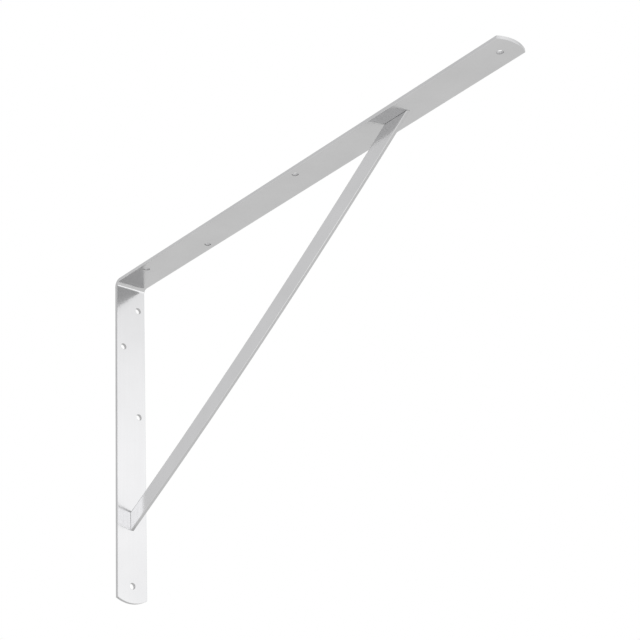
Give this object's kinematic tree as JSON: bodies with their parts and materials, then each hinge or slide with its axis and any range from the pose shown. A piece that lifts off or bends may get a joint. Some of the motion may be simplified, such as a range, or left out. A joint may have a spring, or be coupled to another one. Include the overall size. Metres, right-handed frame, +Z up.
{
  "type": "shelf bracket",
  "caption": "Braced wall bracket for a shelf: a flat metal strip folded into a short wall leg and a long shelf arm with screw holes, with a diagonal bar on edge between them.",
  "frame": {"origin": "middle of the wall leg's back face, which lies against the wall", "axes": "+X out from the wall along the shelf arm, +Y along the wall, +Z up towards the shelf"},
  "size_m": [0.49, 0.03, 0.3],
  "materials": {
    "zinc_plate": "bright zinc plate, smooth and lightly grained"
  },
  "bodies": {
    "root": {"angle_strip": "zinc_plate", "brace": "zinc_plate"}
  },
  "joints": []
}
